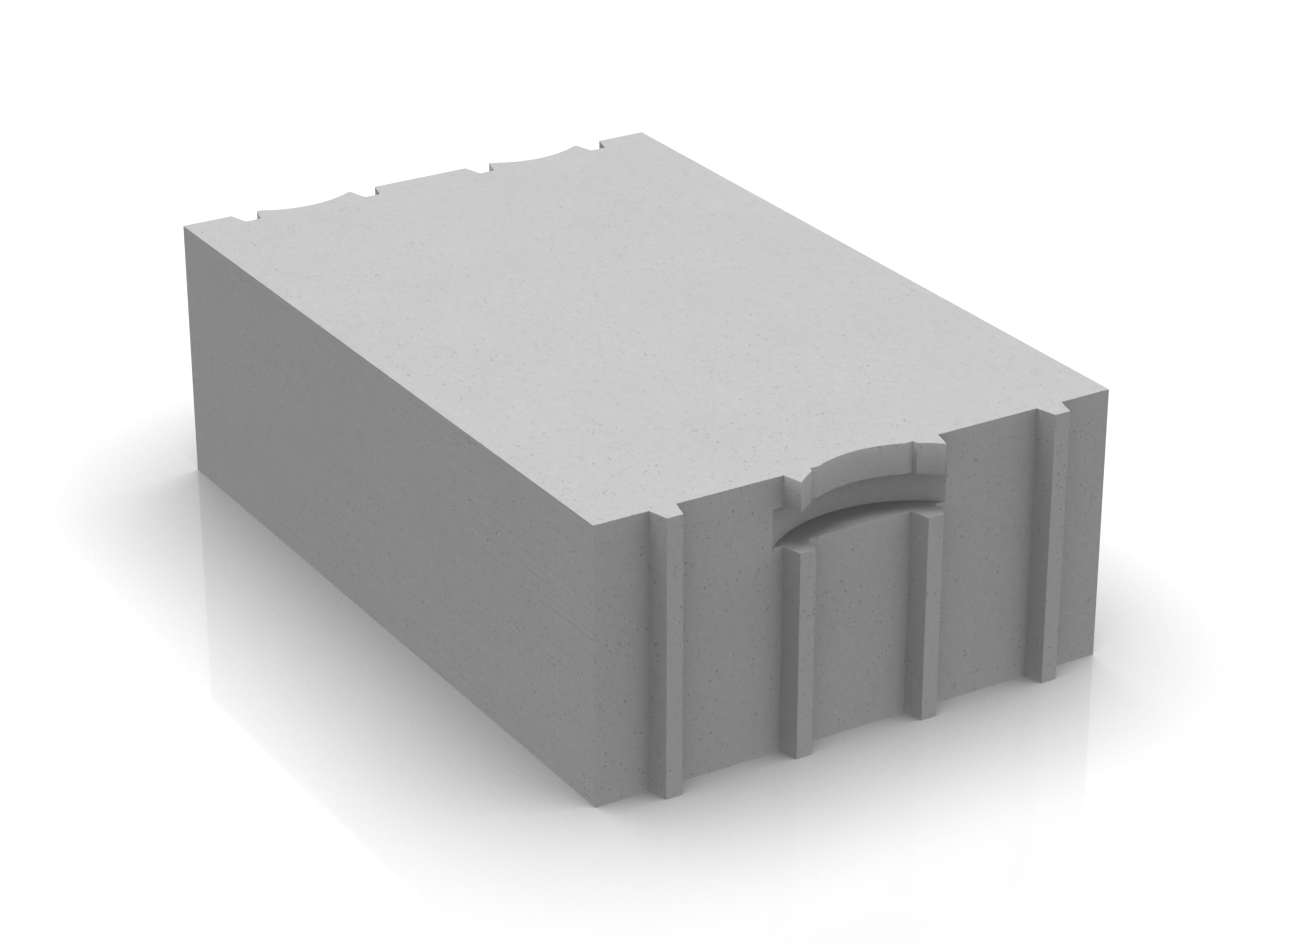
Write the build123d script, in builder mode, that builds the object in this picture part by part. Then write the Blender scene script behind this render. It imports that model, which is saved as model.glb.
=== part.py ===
import os

from build123d import *

os.makedirs("parts", exist_ok=True)

# Sawn body, from end face to end face, side to side and bed to bed
body_length = 600
body_width = 400
body_height = 200

# Tongues on one end, tapered in plan and spaced evenly across the width
tongue_count = 4
tongue_pitch = 100
tongue_base = 20
tongue_reach = 15
flank_angle = 75

# Play of a tongue in the matching groove of the next block
side_play = 0.5
tip_play = 1

# Hand grips: a lip under the top bed, and a finger pocket that undercuts it
lip_height = 22
pocket_height = 28
finger_reach = 19

# Arc of the lip over the single grip on the tongue end, and how far it cuts behind the end face
tongue_end_arc = 83
tongue_end_scallop = 7

# Arc of the lips over the two grips on the groove end, and how far they cut behind the end face
groove_end_arc = 72
groove_end_scallop = 10

# Sizes and places that follow from those
end_face = body_length / 2
groove_mouth = tongue_base + 2 * side_play
groove_depth = tongue_reach + tip_play
lip_underside = body_height - lip_height
pocket_floor = lip_underside - pocket_height

# Upright axes of the grips: one on the block's middle, two between the outer pairs of grooves
tongue_grip_x = end_face + tongue_end_arc - tongue_end_scallop
groove_grip_x = -end_face - groove_end_arc + groove_end_scallop
groove_grip_y = (tongue_count / 2 - 1) * tongue_pitch
tongue_grip = (tongue_grip_x, 0)
groove_grips = [(groove_grip_x, -groove_grip_y), (groove_grip_x, groove_grip_y)]

with BuildPart() as block:
    # Plan of the block with its tongues and grooves, carried up the full height
    with BuildSketch() as plan:
        Rectangle(body_length, body_width)
        with Locations((end_face, 0)):
            with GridLocations(tongue_pitch, tongue_pitch, 1, tongue_count):
                Trapezoid(
                    tongue_base,
                    tongue_reach,
                    flank_angle,
                    rotation=-90,
                    align=(Align.CENTER, Align.MIN),
                )
        with Locations((-end_face, 0)):
            with GridLocations(tongue_pitch, tongue_pitch, 1, tongue_count):
                Trapezoid(
                    groove_mouth,
                    groove_depth,
                    flank_angle,
                    rotation=-90,
                    align=(Align.CENTER, Align.MIN),
                    mode=Mode.SUBTRACT,
                )
    extrude(amount=body_height)

    # Finger pockets, each on one axis with the scallop above it, cut through the inner tongues too
    with BuildSketch(Plane.XY.offset(pocket_floor)) as pockets:
        with Locations(tongue_grip):
            Circle(tongue_end_arc + finger_reach)
        with Locations(*groove_grips):
            Circle(groove_end_arc + finger_reach)
    extrude(amount=pocket_height, mode=Mode.SUBTRACT)

    # Scallops in the lips, which leave a sharp remnant of the inner tongues beside the hand
    with BuildSketch(Plane.XY.offset(lip_underside)) as scallops:
        with Locations(tongue_grip):
            Circle(tongue_end_arc)
        with Locations(*groove_grips):
            Circle(groove_end_arc)
    extrude(amount=lip_height, mode=Mode.SUBTRACT)

block.part.label = "block"
export_step(block.part, "parts/block.step")
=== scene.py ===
import math

import bmesh
import bpy
import numpy as np
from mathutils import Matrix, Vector, geometry


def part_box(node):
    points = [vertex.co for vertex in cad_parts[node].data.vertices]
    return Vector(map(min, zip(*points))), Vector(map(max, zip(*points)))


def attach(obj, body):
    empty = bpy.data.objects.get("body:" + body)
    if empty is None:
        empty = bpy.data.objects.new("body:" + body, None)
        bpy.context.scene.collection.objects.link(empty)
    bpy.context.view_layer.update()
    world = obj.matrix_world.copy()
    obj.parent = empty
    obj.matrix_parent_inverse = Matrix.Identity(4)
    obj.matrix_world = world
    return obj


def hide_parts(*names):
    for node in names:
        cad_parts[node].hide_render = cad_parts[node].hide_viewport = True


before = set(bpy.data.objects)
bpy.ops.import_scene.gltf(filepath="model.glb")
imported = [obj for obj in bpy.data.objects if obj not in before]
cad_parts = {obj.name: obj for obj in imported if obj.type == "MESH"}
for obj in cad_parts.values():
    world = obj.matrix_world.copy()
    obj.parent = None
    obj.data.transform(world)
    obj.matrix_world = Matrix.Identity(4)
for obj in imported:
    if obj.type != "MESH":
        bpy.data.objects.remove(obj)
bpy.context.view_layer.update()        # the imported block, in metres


# Sizes of the block's profile, in metres; its length, width and height come from the frame
blockCut = {
    "tongueCount": 4,
    "tonguePitch": 0.100,
    "tongueBase": 0.020,
    "tongueReach": 0.015,
    "flankAngle": 75.0,          # degrees between a flank and the end face
    "sidePlay": 0.0005,          # of a tongue in a groove
    "tipPlay": 0.001,
    "lipHeight": 0.022,
    "pocketHeight": 0.028,
    "fingerReach": 0.019,
    "tongueEndArc": 0.083,
    "tongueEndScallop": 0.007,
    "grooveEndArc": 0.072,
    "grooveEndScallop": 0.010,
    "arcPoints": 144,            # points round a full grip circle
    "snap": 1e-7,                # points of the plan closer than this are one
    "weld": 1e-6,                # and so are points of the tiers
    "flatAngle": 0.5,            # degrees; faces that meet at less are one flat face
    "sharpAngle": 28.0,          # degrees; edges that turn by more are rubbed
    "edgeRound": 0.0007,         # how far the saw's sharp edges have rubbed off
    "edgeSteps": 2,
}
insideOnly = 1                   # asks delaunay_2d_cdt for what lies inside the loops


def ribPlan(mouth, reach, slope):
    # a rib in plan is a trapezium: root corner, two tip corners drawn in by the flank's slope, root corner
    tip = mouth / 2 - reach * slope
    return np.array([(0, -mouth / 2), (reach, -tip), (reach, tip), (0, mouth / 2)])


def planOutline(cut, endFace, side):
    # the plan runs along one side, over the tongues, back along the other side and down the grooves
    slope = 1 / math.tan(math.radians(cut["flankAngle"]))
    lanes = (np.arange(cut["tongueCount"]) - (cut["tongueCount"] - 1) / 2) * cut["tonguePitch"]
    tongue = ribPlan(cut["tongueBase"], cut["tongueReach"], slope)
    groove = ribPlan(cut["tongueBase"] + 2 * cut["sidePlay"], cut["tongueReach"] + cut["tipPlay"], slope)
    tongueRoots = np.column_stack([np.full_like(lanes, endFace), lanes])
    grooveRoots = np.column_stack([np.full_like(lanes, -endFace), lanes])
    tongues = (tongueRoots[:, None] + tongue[None]).reshape(-1, 2)
    grooves = (grooveRoots[:, None] + groove[None]).reshape(-1, 2)[::-1]
    nearSide = np.array([(-endFace, -side), (endFace, -side)])
    farSide = np.array([(endFace, side), (-endFace, side)])
    return np.concatenate([nearSide, tongues, farSide, grooves])


def gripRings(cut, endFace, extra):
    # a grip is a circle about an upright axis outside the end face: one at the tongues, two at the grooves
    turn = np.linspace(0, 2 * np.pi, cut["arcPoints"], endpoint=False)
    unit = np.column_stack([np.cos(turn), np.sin(turn)])
    lane = (cut["tongueCount"] / 2 - 1) * cut["tonguePitch"]
    tongueAxis = endFace + cut["tongueEndArc"] - cut["tongueEndScallop"]
    grooveAxis = -endFace - cut["grooveEndArc"] + cut["grooveEndScallop"]
    tongueRing = unit * (cut["tongueEndArc"] + extra) + (tongueAxis, 0)
    grooveRing = unit * (cut["grooveEndArc"] + extra)
    return [tongueRing, grooveRing + (grooveAxis, -lane), grooveRing + (grooveAxis, lane)]


def counterClockwise(flat, tris):
    # where the cross product of two of its sides is below nought, a triangle is turned round
    a, b, c = flat[tris[:, 0]], flat[tris[:, 1]], flat[tris[:, 2]]
    turned = (b[:, 0] - a[:, 0]) * (c[:, 1] - a[:, 1]) < (b[:, 1] - a[:, 1]) * (c[:, 0] - a[:, 0])
    return np.where(turned[:, None], tris[:, ::-1], tris)


def planNet(loops, snap):
    # the plan's outline and the grips' circles cut each other into one net of triangles,
    # each told which of the loops hold it
    starts = np.cumsum([0] + [len(loop) for loop in loops])
    rows = [list(range(a, b)) for a, b in zip(starts[:-1], starts[1:])]
    points = list(map(Vector, np.concatenate(loops).tolist()))
    flat, _, tris, _, _, owners = geometry.delaunay_2d_cdt(points, [], rows, insideOnly, snap)
    flat = np.array([tuple(p) for p in flat])
    held = np.array([[k in owner for k in range(len(loops))] for owner in owners])
    return flat, counterClockwise(flat, np.array(tris)), held


def borderEdges(tris, count):
    # an edge lies on the border when no triangle uses it the other way round
    edges = np.concatenate([tris[:, [0, 1]], tris[:, [1, 2]], tris[:, [2, 0]]])
    there = edges[:, 0] * count + edges[:, 1]
    back = edges[:, 1] * count + edges[:, 0]
    return edges[~np.isin(there, back)]


def stackTiers(flat, tris, held, levels):
    # the plan's border is carried straight up through each tier, and level faces close what the next leaves
    grips = (held.shape[1] - 1) // 2
    inPlan = held[:, 0]
    inPocket = held[:, 1:1 + grips].any(1)
    inScallop = held[:, 1 + grips:].any(1)
    count = len(flat)
    points = np.concatenate([np.column_stack([flat, np.full(count, z)]) for z in levels])
    walls = []
    for level, region in enumerate([inPlan, inPlan & ~inPocket, inPlan & ~inScallop]):
        rim = borderEdges(tris[region], count) + level * count
        walls.append(np.column_stack([rim, rim[:, ::-1] + count]))
    beds = [
        tris[inPlan][:, ::-1],                                        # bottom bed
        tris[inPlan & inPocket] + count,                              # pocket floors
        tris[inPlan & inPocket & ~inScallop][:, ::-1] + 2 * count,    # undersides of the lips
        tris[inPlan & ~inScallop] + 3 * count,                        # top bed
    ]
    walls, beds = np.concatenate(walls), np.concatenate(beds)
    used, ids = np.unique(np.concatenate([walls.ravel(), beds.ravel()]), return_inverse=True)
    faces = ids[:walls.size].reshape(walls.shape).tolist() + ids[walls.size:].reshape(beds.shape).tolist()
    return points[used], faces


def meshObject(name, points, faces):
    mesh = bpy.data.meshes.new(name)
    mesh.from_pydata(points.tolist(), [], faces)
    mesh.update()
    piece = bpy.data.objects.new(name, mesh)
    bpy.context.scene.collection.objects.link(piece)
    return piece


def sawnShell(cut):
    # the profile in tiers, its flat faces joined, and its edges rubbed round by a bevel
    low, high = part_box("block")
    endFace = -low.x
    lipZ = high.z - cut["lipHeight"]
    levels = [low.z, lipZ - cut["pocketHeight"], lipZ, high.z]
    loops = [planOutline(cut, endFace, high.y)]
    loops += gripRings(cut, endFace, cut["fingerReach"]) + gripRings(cut, endFace, 0)
    shell = meshObject("shell", *stackTiers(*planNet(loops, cut["snap"]), levels))
    net = bmesh.new()
    net.from_mesh(shell.data)
    bmesh.ops.remove_doubles(net, verts=net.verts, dist=cut["weld"])
    flatAngle = math.radians(cut["flatAngle"])
    bmesh.ops.dissolve_limit(net, angle_limit=flatAngle, verts=net.verts, edges=net.edges)
    net.to_mesh(shell.data)
    net.free()
    shell.data.materials.append(None)    # two empty slots: faces in the second are rubbed strips
    shell.data.materials.append(None)
    bevel = shell.modifiers.new("rubbed edges", "BEVEL")
    bevel.width = cut["edgeRound"]
    bevel.segments = cut["edgeSteps"]
    bevel.limit_method = "ANGLE"
    bevel.angle_limit = math.radians(cut["sharpAngle"])
    bevel.use_clamp_overlap = True
    bevel.material = 1
    rounded = bpy.data.meshes.new_from_object(shell.evaluated_get(bpy.context.evaluated_depsgraph_get()))
    bpy.data.meshes.remove(shell.data)   # takes the object with it
    return rounded


# Open air pores of the sawn faces, in metres
openPores = {
    "cell": 0.0115,          # one pore at most in each square of this side
    "share": 0.55,           # share of the squares that have one
    "smallest": 0.00035,     # radii
    "largest": 0.0009,
    "smallness": 3,          # the higher, the more of them are small
    "lobes": (0.18, 0.10),   # how far a rim is out of round, in two lobes and in three
    "rimRoom": 1.3,          # radii that an uneven rim keeps to
    "rimPoints": 8,
    "depth": 0.5,            # of the radius
    "bowl": ((1.0, 0.0), (0.84, 0.55), (0.42, 0.92)),    # rings, as shares of the rim and of the depth
    "margin": 0.0005,        # left clear along the edges
    "smallFace": 0.0006,     # square metres; smaller faces get none
    "snap": 1e-9,            # points of a face closer than this are one
    "seed": 11,
}


def poreCentres(outline, pores, rng):
    # one jittered point in each square of a grid, kept by chance, inside the outline and clear of it
    low, high = outline.min(0), outline.max(0)
    counts = np.maximum(np.floor((high - low) / pores["cell"]).astype(int), 1)
    size = (high - low) / counts
    column, row = np.meshgrid(np.arange(counts[0]), np.arange(counts[1]))
    total = counts[0] * counts[1]
    spare = pores["largest"] - pores["smallest"]
    radius = pores["smallest"] + spare * rng.random(total) ** pores["smallness"]
    room = np.maximum(size / 2 - pores["rimRoom"] * pores["largest"], 0)
    centre = low + (np.column_stack([column.ravel(), row.ravel()]) + 0.5) * size
    centre += (rng.random((total, 2)) * 2 - 1) * room
    kept = rng.random(total) < pores["share"]
    centre, radius = centre[kept], radius[kept]

    # distance to the nearest side of the outline, and inside where a ray crosses it an odd number of times
    a, b = outline, np.roll(outline, -1, axis=0)
    share = np.clip(((centre[:, None] - a) * (b - a)).sum(2) / ((b - a) ** 2).sum(1), 0, 1)
    gap = np.linalg.norm(a + share[..., None] * (b - a) - centre[:, None], axis=2).min(1)
    crossed = (a[:, 1] > centre[:, 1:]) != (b[:, 1] > centre[:, 1:])
    rise = np.where(b[:, 1] == a[:, 1], 1, b[:, 1] - a[:, 1])
    reach = a[:, 0] + (centre[:, 1:] - a[:, 1]) / rise * (b[:, 0] - a[:, 0])
    inside = (crossed & (centre[:, :1] < reach)).sum(1) % 2 == 1
    fits = inside & (gap > pores["rimRoom"] * radius + pores["margin"])
    return centre[fits], radius[fits]


def poreRims(centre, radius, pores, rng):
    # a rim is a circle drawn a little out of round: two lobes and three lobes of random size and turn
    turn = np.linspace(0, 2 * np.pi, pores["rimPoints"], endpoint=False)
    amount = rng.random((len(centre), 2, 1)) * np.array(pores["lobes"])[:, None]
    phase = rng.random((len(centre), 2, 1)) * 2 * np.pi
    wave = 1 + amount[:, 0] * np.cos(2 * turn + phase[:, 0]) + amount[:, 1] * np.cos(3 * turn + phase[:, 1])
    unit = np.column_stack([np.cos(turn), np.sin(turn)])
    return centre[:, None] + (radius[:, None] * wave)[..., None] * unit


def cutRound(outline, rims, snap):
    # triangles that fill a face's outline and leave its pores open: those that only the outline holds
    flat = np.concatenate([outline, rims.reshape(-1, 2)])
    holes = len(outline) + np.arange(rims.shape[0] * rims.shape[1]).reshape(rims.shape[:2])
    rows = [list(range(len(outline)))] + holes.tolist()
    points = list(map(Vector, flat.tolist()))
    _, _, tris, origin, _, owners = geometry.delaunay_2d_cdt(points, [], rows, insideOnly, snap)
    origin = np.array([ids[0] for ids in origin])
    tris = origin[np.array(tris)]
    return counterClockwise(flat, tris[np.array([len(owner) == 1 for owner in owners])])


def porousBlock(shell, pores):
    # every large flat face is cut anew round its pores; a pore is a bowl, its rim drawn in and down by rings
    rng = np.random.default_rng(pores["seed"])
    corners = np.empty(len(shell.vertices) * 3)
    shell.vertices.foreach_get("co", corners)
    corners = corners.reshape(-1, 3)
    points, base = [corners], len(corners)
    faces, smooth, rubbed, bored = [], [], [], 0
    # faces are taken by where they lie, to a tenth of a millimetre, so that each keeps its own random draws
    for face in sorted(shell.polygons, key=lambda face: [round(v, 4) for v in face.center]):
        loop = list(face.vertices)
        strip = face.material_index
        small = strip or face.area < pores["smallFace"]
        if not small:
            normal = np.array(face.normal)
            level = abs(normal[2]) > 0.5
            across = np.array((1.0, 0, 0)) if level else np.cross((0, 0, 1.0), normal)
            across /= np.linalg.norm(across)
            upward = np.cross(normal, across)
            start = corners[loop[0]]
            outline = (corners[loop] - start) @ np.column_stack([across, upward])
            centre, radius = poreCentres(outline, pores, rng)
        if small or not len(centre):
            faces.append(loop)
            smooth.append(bool(small))
            rubbed.append(strip)
            continue
        rims = poreRims(centre, radius, pores, rng)
        tris = cutRound(outline, rims, pores["snap"])
        rings = []
        for inward, sink in pores["bowl"]:
            spot = centre[:, None] + inward * (rims - centre[:, None])
            deep = -sink * pores["depth"] * radius[:, None, None] * normal
            rings.append(start + spot[..., :1] * across + spot[..., 1:] * upward + deep)
        rings = np.stack(rings)
        ids = base + np.arange(rings[..., 0].size).reshape(rings.shape[:3])
        ahead = np.roll(ids, -1, axis=2)
        walls = np.stack([ids[:-1], ahead[:-1], ahead[1:], ids[1:]], axis=3).reshape(-1, 4)
        lookup = np.concatenate([loop, ids[0].ravel()])
        points.append(rings.reshape(-1, 3))
        base += ids.size
        bored += len(centre)
        faces += lookup[tris].tolist() + walls.tolist() + ids[-1].tolist()
        smooth += [False] * len(tris) + [True] * (len(walls) + len(centre))
        rubbed += [0] * (len(tris) + len(walls) + len(centre))
    block = meshObject("sawn_block", np.concatenate(points), faces)
    block.data.polygons.foreach_set("use_smooth", smooth)
    block.data.attributes.new("rubbed", "FLOAT", "FACE").data.foreach_set("value", rubbed)
    print("pores bored:", bored, "faces:", len(faces), "rubbed strips:", sum(rubbed))
    return block


# Finish of the concrete: dry grey lime and sand, full of fine air cells; lengths in metres
concreteLook = {
    "grey": 0.605,
    "roughness": (0.86, 0.97),
    "gloss": 0.1,                    # specular level
    "fineCells": 0.0013,             # spacing of the air cells
    "fineRadii": (-0.16, 0.32),      # as shares of the spacing; below nought there is no pore
    "coarseCells": 0.0034,
    "coarseRadii": (-0.34, 0.24),
    "poreShade": 0.08,               # painted shade: how much darker the pores' colour is made
    "shadeDepth": 0.5,               # share of the largest fine pore's depth from which the painted shade is full
    "grainSize": 0.0005,
    "grainDetail": 1,                # finer layers in the noise
    "grainDepth": 0.00006,
    "speckleSize": 0.006,
    "speckleDetail": 3,
    "speckle": 0.030,                # lighter and darker spots
    "cloudSize": 0.09,
    "cloudDetail": 2,
    "cloud": 0.022,                  # drying clouds
    "sawPitch": 0.0032,
    "sawDetail": 1,
    "sawStretch": 0.02,              # width of a saw line as a share of its length
    "sawDepth": 0.00005,
    "sawTone": 0.010,
    "edgeDustAndHighlight": 0.045,               # lighter where an edge has rubbed: its dust, and a painted highlight along it
}


def feed(tree, part, socket):
    # a plain number is set on the socket, anything else is linked to it
    if isinstance(part, (int, float)):
        socket.default_value = part
    else:
        tree.links.new(part, socket)


def maths(tree, operation, *parts):
    node = tree.nodes.new("ShaderNodeMath")
    node.operation = operation
    for part, socket in zip(parts, node.inputs):
        feed(tree, part, socket)
    return node.outputs[0]


def spread(tree, value, reach, goal, way="LINEAR"):
    # carries one range of numbers over to another, and stops at its ends
    node = tree.nodes.new("ShaderNodeMapRange")
    node.interpolation_type = way
    ends = ("From Min", "From Max", "To Min", "To Max")
    for name, part in zip(("Value", *ends), (value, *reach, *goal)):
        feed(tree, part, node.inputs[name])
    return node.outputs["Result"]


def airCells(tree, place, spacing, radii):
    # a sphere of air in each cell: the saw leaves a bowl as deep as the root of radius squared less distance
    # squared; its radius is a draw of its own, because a cell's colour is also where its point lies
    cells = tree.nodes.new("ShaderNodeTexVoronoi")
    cells.inputs["Scale"].default_value = 1 / spacing
    tree.links.new(place, cells.inputs["Vector"])
    chance = tree.nodes.new("ShaderNodeTexWhiteNoise")
    tree.links.new(cells.outputs["Color"], chance.inputs["Vector"])
    radius = maths(tree, "MAXIMUM", spread(tree, chance.outputs["Value"], (0, 1), radii), 0.0)
    away = cells.outputs["Distance"]
    awaySquared = maths(tree, "MULTIPLY", away, away)
    room = maths(tree, "SUBTRACT", maths(tree, "MULTIPLY", radius, radius), awaySquared)
    bowl = maths(tree, "SQRT", maths(tree, "MAXIMUM", room, 0.0))
    return maths(tree, "MULTIPLY", bowl, spacing)


def unevenness(tree, place, size, detail):
    # noise about nought, from about -1 to 1
    noise = tree.nodes.new("ShaderNodeTexNoise")
    noise.inputs["Scale"].default_value = 1 / size
    noise.inputs["Detail"].default_value = detail
    tree.links.new(place, noise.inputs["Vector"])
    usual = (0.2, 0.8)       # nearly all of the noise lies between these
    return spread(tree, noise.outputs["Fac"], usual, (-1, 1))


def aeratedConcrete(look):
    material = bpy.data.materials.new("aerated_concrete")
    material.use_nodes = True
    tree = material.node_tree
    shader = tree.nodes["Principled BSDF"]
    shader.inputs["Specular IOR Level"].default_value = look["gloss"]
    place = tree.nodes.new("ShaderNodeTexCoord").outputs["Object"]
    drawn = tree.nodes.new("ShaderNodeMapping")
    drawn.inputs["Scale"].default_value = (look["sawStretch"], 1, 1)
    tree.links.new(place, drawn.inputs["Vector"])
    edge = tree.nodes.new("ShaderNodeAttribute")
    edge.attribute_name = "rubbed"

    fine = airCells(tree, place, look["fineCells"], look["fineRadii"])
    coarse = airCells(tree, place, look["coarseCells"], look["coarseRadii"])
    pores = maths(tree, "MAXIMUM", fine, coarse)
    grain = unevenness(tree, place, look["grainSize"], look["grainDetail"])
    speckle = unevenness(tree, place, look["speckleSize"], look["speckleDetail"])
    cloud = unevenness(tree, place, look["cloudSize"], look["cloudDetail"])
    saw = unevenness(tree, drawn.outputs["Vector"], look["sawPitch"], look["sawDetail"])

    # colour: the grey, made lighter and darker by each of these in turn
    hollowDepth = look["fineCells"] * look["fineRadii"][1] * look["shadeDepth"]
    paintedPoreShade = spread(tree, pores, (0, hollowDepth), (0, 1))
    tone = maths(tree, "MULTIPLY_ADD", speckle, look["speckle"], 1.0)
    tone = maths(tree, "MULTIPLY_ADD", cloud, look["cloud"], tone)
    tone = maths(tree, "MULTIPLY_ADD", saw, look["sawTone"], tone)
    # rubbed edges made lighter: partly their dust, partly a painted highlight
    tone = maths(tree, "MULTIPLY_ADD", edge.outputs["Fac"], look["edgeDustAndHighlight"], tone)
    # painted shade: the colour is made darker the deeper a pore goes
    tone = maths(tree, "MULTIPLY_ADD", paintedPoreShade, -look["poreShade"], tone)
    tree.links.new(maths(tree, "MULTIPLY", tone, look["grey"]), shader.inputs["Base Color"])
    tree.links.new(spread(tree, speckle, (-1, 1), look["roughness"]), shader.inputs["Roughness"])

    # relief in metres
    relief = maths(tree, "MULTIPLY", grain, look["grainDepth"])
    relief = maths(tree, "MULTIPLY_ADD", saw, look["sawDepth"], relief)
    relief = maths(tree, "SUBTRACT", relief, pores)
    bump = tree.nodes.new("ShaderNodeBump")
    bump.inputs["Distance"].default_value = 1.0
    tree.links.new(relief, bump.inputs["Height"])
    tree.links.new(bump.outputs["Normal"], shader.inputs["Normal"])
    return material


# Pale floor, with a painted shadow round the block
floorLook = {
    "reach": 30.0,
    "shadeReach": 0.167,                 # how far from the block the floor's painted shadow reaches
    "shadeLean": (0.07, 0.125, 1.0),     # the painted shadow is lighter on this side of the block
    "shadePower": 1.37,
    "shadeSamples": 8,
    "own": 0.8,                          # share of the floor's white that glows by itself, painted shadow and all, and does not wait for the light
    "gloss": 1.45,                       # index of refraction
    "roughness": 0.05,
}


def paleFloor(look):
    # painted shadow: white times a power of how open the floor is about a leaned axis; a share takes the
    # real light and shadow
    corners = np.array([(-1, -1, 0), (1, -1, 0), (1, 1, 0), (-1, 1, 0)]) * look["reach"]
    floor = meshObject("floor", corners, [[0, 1, 2, 3]])
    floor.visible_diffuse = False        # the block's light from below comes from the dome
    floor.visible_shadow = False
    material = bpy.data.materials.new("pale_floor")
    material.use_nodes = True
    material.cycles.emission_sampling = "NONE"
    tree = material.node_tree
    shader = tree.nodes["Principled BSDF"]
    shader.inputs["Roughness"].default_value = look["roughness"]
    shader.inputs["IOR"].default_value = look["gloss"]
    shader.inputs["Emission Strength"].default_value = look["own"]
    openness = tree.nodes.new("ShaderNodeAmbientOcclusion")
    openness.samples = look["shadeSamples"]
    openness.inputs["Distance"].default_value = look["shadeReach"]
    axis = tree.nodes.new("ShaderNodeCombineXYZ")
    for part, socket in zip(Vector(look["shadeLean"]).normalized(), axis.inputs):
        socket.default_value = part
    tree.links.new(axis.outputs["Vector"], openness.inputs["Normal"])
    # painted shadow: the floor's glow and colour are darkened where the block closes it in
    shade = maths(tree, "POWER", openness.outputs["AO"], look["shadePower"])
    tree.links.new(shade, shader.inputs["Emission Color"])
    tree.links.new(maths(tree, "MULTIPLY", shade, 1 - look["own"]), shader.inputs["Base Color"])
    floor.data.materials.append(material)


# Soft studio light, all of it from the dome of the sky
domeLight = {
    "capLean": (-0.23, -0.173, 1.0),     # towards the middle of the overhead light
    "capEdge": (0.836, 1.0),             # cosines at which it begins and is full
    "capStrength": 4.77,
    "bandStrength": 0.56,                # soft light from all round
    "bandHeight": 0.361,                 # sine of the height at which it is brightest
    "bandWidth": 0.434,
    "bandLean": (0.255, 0.305, 0.0),     # brighter on this side
    "floorGlow": 0.187,                  # what the floor gives back to the block
    "horizon": (-0.03, 0.03),
    "bounces": 0,                        # faces lend each other no light, so corners stay dark
}


def along(tree, way, axis):
    # how far a direction goes along an axis: their dot product
    node = tree.nodes.new("ShaderNodeVectorMath")
    node.operation = "DOT_PRODUCT"
    node.inputs[1].default_value = axis
    tree.links.new(way, node.inputs[0])
    return node.outputs["Value"]


def seenDirectly(tree):
    # 1 for rays from the camera, mirrors and glass, 0 for light that bounces about
    path = tree.nodes.new("ShaderNodeLightPath")
    either = maths(tree, "MAXIMUM", path.outputs["Is Camera Ray"], path.outputs["Is Glossy Ray"])
    return maths(tree, "MAXIMUM", either, path.outputs["Is Transmission Ray"])


def softLight(look):
    # a smooth cap of light near the zenith, over a bell-shaped band all round, e to the minus square of
    # height over width, and the floor's glow below the horizon; plain white where the dome is seen
    world = bpy.data.worlds.new("studio")
    bpy.context.scene.world = world
    bpy.context.scene.cycles.diffuse_bounces = look["bounces"]
    world.use_nodes = True
    tree = world.node_tree
    tree.nodes.clear()
    way = tree.nodes.new("ShaderNodeTexCoord").outputs["Generated"]
    height = along(tree, way, (0, 0, 1))
    off = maths(tree, "DIVIDE", maths(tree, "SUBTRACT", height, look["bandHeight"]), look["bandWidth"])
    bell = maths(tree, "EXPONENT", maths(tree, "MULTIPLY", maths(tree, "MULTIPLY", off, off), -1.0))
    glow = spread(tree, height, look["horizon"], (look["floorGlow"], 0))
    level = maths(tree, "MULTIPLY_ADD", bell, look["bandStrength"], glow)
    level = maths(tree, "MULTIPLY", level, maths(tree, "ADD", along(tree, way, look["bandLean"]), 1.0))
    near = along(tree, way, Vector(look["capLean"]).normalized())
    strength = spread(tree, near, look["capEdge"], (level, look["capStrength"]), "SMOOTHSTEP")

    dome = tree.nodes.new("ShaderNodeBackground")
    dome.inputs["Color"].default_value = (1, 1, 1, 1)
    tree.links.new(strength, dome.inputs["Strength"])
    white = tree.nodes.new("ShaderNodeBackground")
    white.inputs["Color"].default_value = (1, 1, 1, 1)
    mix = tree.nodes.new("ShaderNodeMixShader")
    tree.links.new(seenDirectly(tree), mix.inputs[0])
    tree.links.new(dome.outputs[0], mix.inputs[1])
    tree.links.new(white.outputs[0], mix.inputs[2])
    tree.links.new(mix.outputs[0], tree.nodes.new("ShaderNodeOutputWorld").inputs["Surface"])


# The photograph's viewpoint, in metres, and its lens in millimetres
photoView = {
    "place": (1.9818, -1.1874, 1.1455),
    "aim": (0.0692, -0.0184, 0.1000),
    "lens": 97.82,
    "sensor": 36.0,
}


def photoCamera(view):
    data = bpy.data.cameras.new("camera")
    data.lens = view["lens"]
    data.sensor_width = view["sensor"]
    camera = bpy.data.objects.new("camera", data)
    bpy.context.scene.collection.objects.link(camera)
    place = Vector(view["place"])
    camera.location = place
    camera.rotation_mode = "QUATERNION"
    camera.rotation_quaternion = (Vector(view["aim"]) - place).to_track_quat("-Z", "Y")
    bpy.context.scene.camera = camera


shell = sawnShell(blockCut)
block = porousBlock(shell, openPores)
bpy.data.meshes.remove(shell)
block.data.materials.append(aeratedConcrete(concreteLook))
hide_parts("block")
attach(block, "root")
print("block finished")

paleFloor(floorLook)
softLight(domeLight)
photoCamera(photoView)
bpy.context.scene.view_settings.view_transform = "Standard"
print("studio set")
